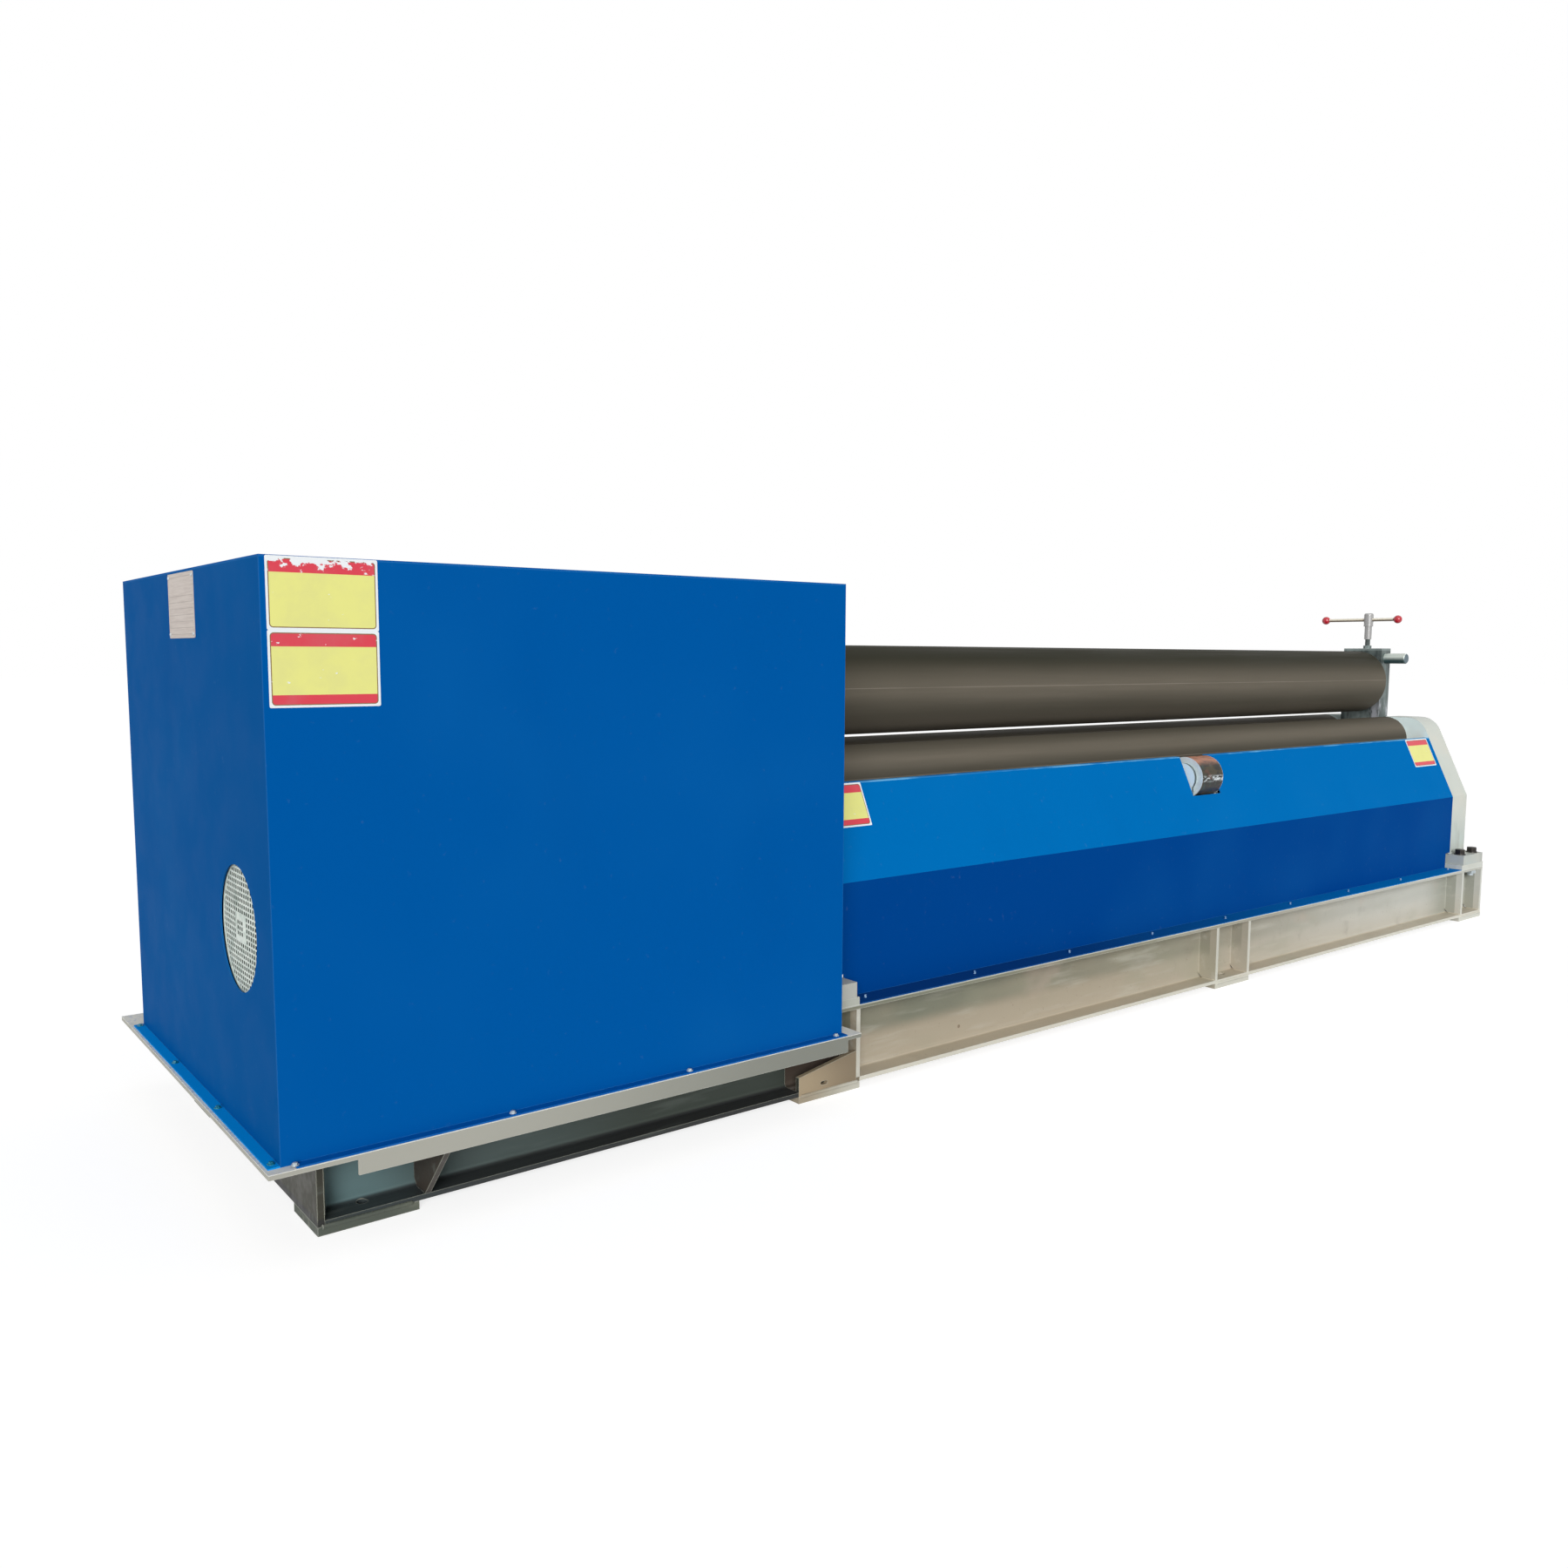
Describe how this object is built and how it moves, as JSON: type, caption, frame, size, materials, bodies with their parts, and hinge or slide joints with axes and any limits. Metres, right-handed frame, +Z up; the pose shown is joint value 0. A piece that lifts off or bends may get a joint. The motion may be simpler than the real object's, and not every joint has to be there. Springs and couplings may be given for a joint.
{
  "type": "plate rolling machine",
  "caption": "Three-roll plate bending machine: blue drive housing, white end frames, driven lower rolls and an adjustable upper roll with a tipping bearing on a welded channel bed.",
  "frame": {"origin": "middle of the rectangle of the four outer anchor holes, on the floor plane; the upper roll's axis is above it", "axes": "+X along the rolls from the drive housing to the tipping bearing, +Y from the working side to the rear, +Z up"},
  "size_m": [5.056, 1.237, 1.2985],
  "materials": {
    "blue_paint": "gloss blue enamel on sheet steel",
    "bed_paint": "thin warm grey primer on hot-rolled channel, with rubbed patches",
    "white_paint": "off-white paint",
    "roll_steel": "turned forged steel under a dark rust-preventing film",
    "dark_steel": "oiled dark steel",
    "bright_steel": "turned bright steel",
    "red_plastic": "glossy red ball knob"
  },
  "bodies": {
    "machine": {"foot_pads": "bed_paint", "bed_rail_front": "bed_paint", "bed_rail_rear": "bed_paint", "drive_rail_front": "bed_paint", "drive_rail_rear": "bed_paint", "drive_end_beam": "bed_paint", "cross_beams": "bed_paint", "rail_stiffeners": "bed_paint", "gusset_plates": "bed_paint", "deck_plate": "white_paint", "packing_plates": "bed_paint", "left_frame": "white_paint", "right_frame": "white_paint", "bearing_caps": "bright_steel", "front_cover": "blue_paint", "rear_cover": "blue_paint", "centre_pedestal": "bed_paint", "support_brackets": "white_paint", "support_axles": "bright_steel", "housing_front": "blue_paint", "housing_rear": "blue_paint", "housing_left_end": "blue_paint", "housing_right_end": "blue_paint", "housing_top": "blue_paint", "motor": "dark_steel", "motor_fan_cover": "bright_steel", "motor_stand": "bed_paint"},
    "upper_bearings": {"left_bearing_block": "dark_steel", "lift_screws": "bright_steel", "tip_carriage": "dark_steel", "hinge_pin": "bright_steel"},
    "upper_roll": {"upper_roll": "roll_steel", "upper_journals": "bright_steel"},
    "tipping_bearing": {"tipping_bearing": "dark_steel", "pull_bar": "bright_steel", "lock_nut": "dark_steel"},
    "clamp_screw": {"clamp_screw": "bright_steel"},
    "cross_bar": {"cross_bar": "bright_steel", "ball_knobs": "red_plastic"},
    "front_lower_roll": {"front_lower_roll": "roll_steel", "front_lower_journals": "bright_steel"},
    "rear_lower_roll": {"rear_lower_roll": "roll_steel", "rear_lower_journals": "bright_steel"},
    "front_support_roller": {"front_support_roller": "dark_steel"},
    "rear_support_roller": {"rear_support_roller": "dark_steel"}
  },
  "joints": [
    {"name": "roll_lift", "type": "slide", "parent": "machine", "child": "upper_bearings", "axis": [0, 0, 1], "range_m": [-0.06, 0.04]},
    {"name": "upper_roll_turn", "type": "hinge", "parent": "upper_bearings", "child": "upper_roll", "pos_m": [0.585, 0, 1.001], "axis": [1, 0, 0], "continuous": true},
    {"name": "bearing_tip", "type": "hinge", "parent": "upper_bearings", "child": "tipping_bearing", "pos_m": [2.29, 0, 0.6], "axis": [0, 1, 0], "range_deg": [0, 85]},
    {"name": "clamp_screw_turn", "type": "hinge", "parent": "tipping_bearing", "child": "clamp_screw", "pos_m": [2.29, 0, 1.2], "axis": [0, 0, 1], "range_deg": [-180, 180]},
    {"name": "cross_bar_slide", "type": "slide", "parent": "clamp_screw", "child": "cross_bar", "axis": [0, 1, 0], "range_m": [-0.156, 0.088]},
    {"name": "front_lower_roll_turn", "type": "hinge", "parent": "machine", "child": "front_lower_roll", "pos_m": [0.585, -0.139, 0.758], "axis": [1, 0, 0], "continuous": true},
    {"name": "rear_lower_roll_turn", "type": "hinge", "parent": "machine", "child": "rear_lower_roll", "pos_m": [0.585, 0.139, 0.758], "axis": [1, 0, 0], "continuous": true},
    {"name": "front_support_roller_turn", "type": "hinge", "parent": "machine", "child": "front_support_roller", "pos_m": [0.585, -0.28978, 0.694], "axis": [1, 0, 0], "continuous": true},
    {"name": "rear_support_roller_turn", "type": "hinge", "parent": "machine", "child": "rear_support_roller", "pos_m": [0.585, 0.28978, 0.694], "axis": [1, 0, 0], "continuous": true}
  ],
  "couplings": [
    {"joint": "rear_lower_roll_turn", "follows": "front_lower_roll_turn", "ratio": 1},
    {"joint": "front_support_roller_turn", "follows": "front_lower_roll_turn", "ratio": -1.3357},
    {"joint": "rear_support_roller_turn", "follows": "front_lower_roll_turn", "ratio": -1.3357}
  ]
}
